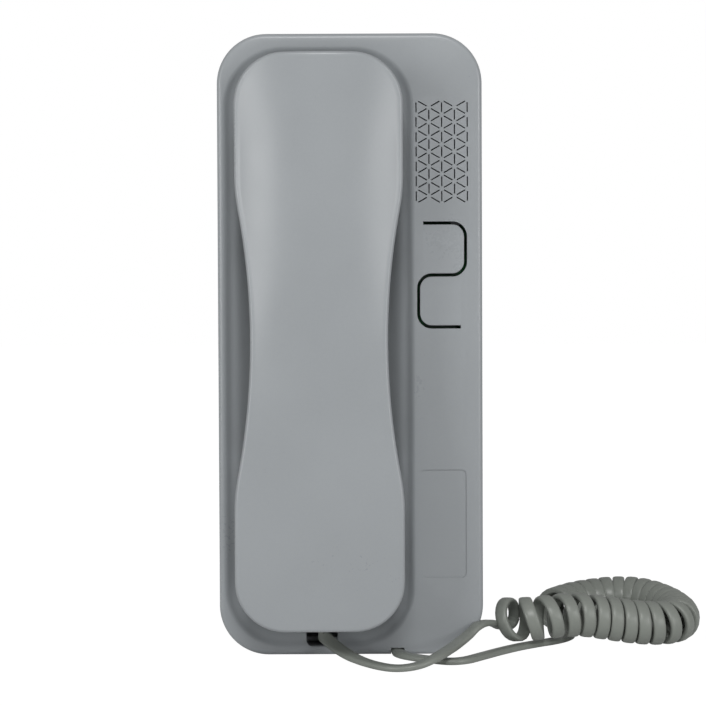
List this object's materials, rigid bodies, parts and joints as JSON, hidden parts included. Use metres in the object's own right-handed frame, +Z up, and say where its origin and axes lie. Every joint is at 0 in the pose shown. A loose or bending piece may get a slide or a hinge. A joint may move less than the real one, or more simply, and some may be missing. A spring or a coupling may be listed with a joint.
{
  "type": "audio intercom handset",
  "caption": "Wall audio intercom with a waisted handset resting in a cradle, a slit speaker grille, sprung tongue buttons and a curly cord.",
  "frame": {"origin": "middle of the back face that lies on the wall", "axes": "+X to the right seen from the front, +Y into the wall, +Z up towards the earpiece"},
  "size_m": [0.1521, 0.0848, 0.188],
  "materials": {
    "grey_plastic": "fine moulded grain, satin",
    "dark_plastic": "smooth moulded",
    "screw_steel": "zinc plated",
    "board_laminate": "green solder mask",
    "cone_paper": "pressed paper",
    "black_rubber": "moulded",
    "cord_rubber": "satin extruded jacket"
  },
  "bodies": {
    "base": {"rear_housing": "grey_plastic", "front_cover": "grey_plastic", "cover_screws": "screw_steel", "circuit_board": "board_laminate", "board_screws": "screw_steel", "terminal_block": "dark_plastic", "terminal_screws": "screw_steel", "door_switch": "dark_plastic", "aux_switch": "dark_plastic", "hook_switch": "dark_plastic", "speaker_frame": "dark_plastic", "speaker_cone": "cone_paper", "speaker_magnet": "screw_steel", "speaker_gasket": "black_rubber", "base_cord_gland": "cord_rubber", "handset_lead": "cord_rubber", "curly_cord": "cord_rubber", "base_lead": "cord_rubber"},
    "handset": {"handset_outer_shell": "grey_plastic", "handset_inner_shell": "grey_plastic", "handset_screws": "screw_steel", "earpiece_capsule": "dark_plastic", "earpiece_gasket": "black_rubber", "microphone_capsule": "screw_steel", "microphone_boot": "black_rubber", "handset_cord_boot": "cord_rubber"},
    "plunger": {"hook_plunger": "dark_plastic"},
    "door_tongue": {"door_button": "grey_plastic"},
    "aux_tongue": {"aux_button": "grey_plastic"}
  },
  "joints": [
    {"name": "handset_lift", "type": "slide", "parent": "base", "child": "handset", "axis": [0, -1, 0], "range_m": [0, 0.06], "deforming": ["handset_lead"]},
    {"name": "hook_plunger_slide", "type": "slide", "parent": "base", "child": "plunger", "axis": [0, -1, 0], "range_m": [0, 0.0024]},
    {"name": "door_button_bend", "type": "hinge", "parent": "base", "child": "door_tongue", "pos_m": [0.02215, -0.02, 0.0289], "axis": [0, 0, 1], "range_deg": [0, 4], "stiffness_Nm_per_rad": 0.4},
    {"name": "aux_button_bend", "type": "hinge", "parent": "base", "child": "aux_tongue", "pos_m": [0.03345, -0.02, 0.0132], "axis": [0, 0, -1], "range_deg": [0, 4], "stiffness_Nm_per_rad": 0.4}
  ],
  "couplings": [
    {"joint": "hook_plunger_slide", "follows": "handset_lift", "ratio": 0.04}
  ]
}
